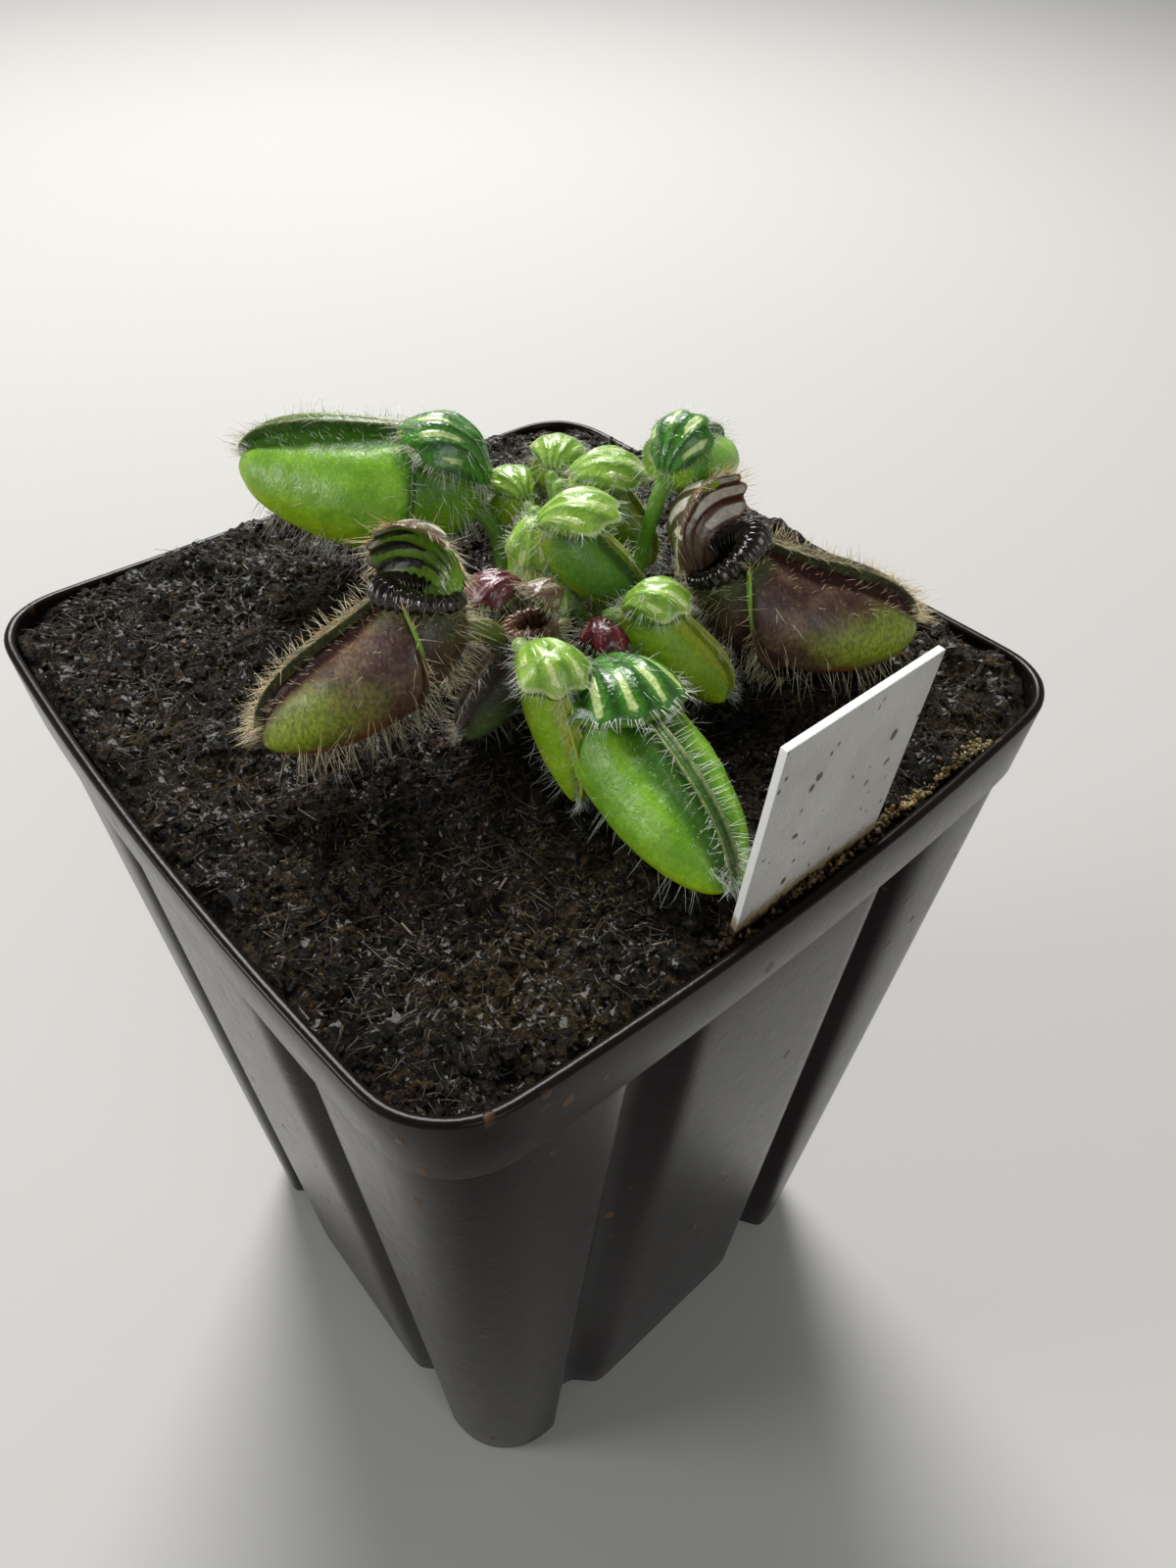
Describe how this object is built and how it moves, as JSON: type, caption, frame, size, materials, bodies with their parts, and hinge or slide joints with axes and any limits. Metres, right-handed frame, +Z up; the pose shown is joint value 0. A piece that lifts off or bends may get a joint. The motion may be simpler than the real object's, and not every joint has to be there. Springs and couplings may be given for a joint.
{
  "type": "potted pitcher plant",
  "caption": "Rosette of moccasin-shaped carnivorous pitchers growing in peat in a tall square plastic pot, with a blank plant label standing at one side.",
  "frame": {"origin": "centre of the pot's flat bottom", "axes": "+Z up, along the pot's height; +X towards the side of the pot that the label stands at"},
  "size_m": [0.0936, 0.0936, 0.1559],
  "materials": {
    "pot_plastic": "black injection-moulded plastic with a soft sheen",
    "peat": "wet, dark, fibrous peat",
    "label_plastic": "pale grey matt plastic with fine ribs",
    "rhizome": "rough brown rootstock",
    "leaf_green": "satin green leaf skin with fine hairs",
    "leaf_maroon": "satin maroon-brown leaf skin with tan hairs",
    "leaf_young": "satin yellow-green leaf skin, lids slightly translucent",
    "leaf_red": "glossy dark red leaf skin",
    "leaf_dusky": "matt grey-purple leaf skin with grey hairs"
  },
  "bodies": {
    "root": {"pot": "pot_plastic", "soil": "peat", "label": "label_plastic", "rhizome": "rhizome", "pitcher_green_back": "leaf_green", "pitcher_dark_left": "leaf_maroon", "pitcher_dark_right": "leaf_maroon", "pitcher_green_front": "leaf_green", "bud_tall": "leaf_young", "bud_back": "leaf_young", "bud_pale": "leaf_young", "pitcher_young_back": "leaf_young", "pitcher_young_middle": "leaf_young", "pitcher_young_upright": "leaf_young", "pitcher_young_right": "leaf_young", "pitcher_young_front": "leaf_young", "pitcher_red": "leaf_red", "pitcher_dusky_left": "leaf_dusky", "pitcher_dusky_front": "leaf_dusky", "pitcher_sprout": "leaf_young"}
  },
  "joints": []
}
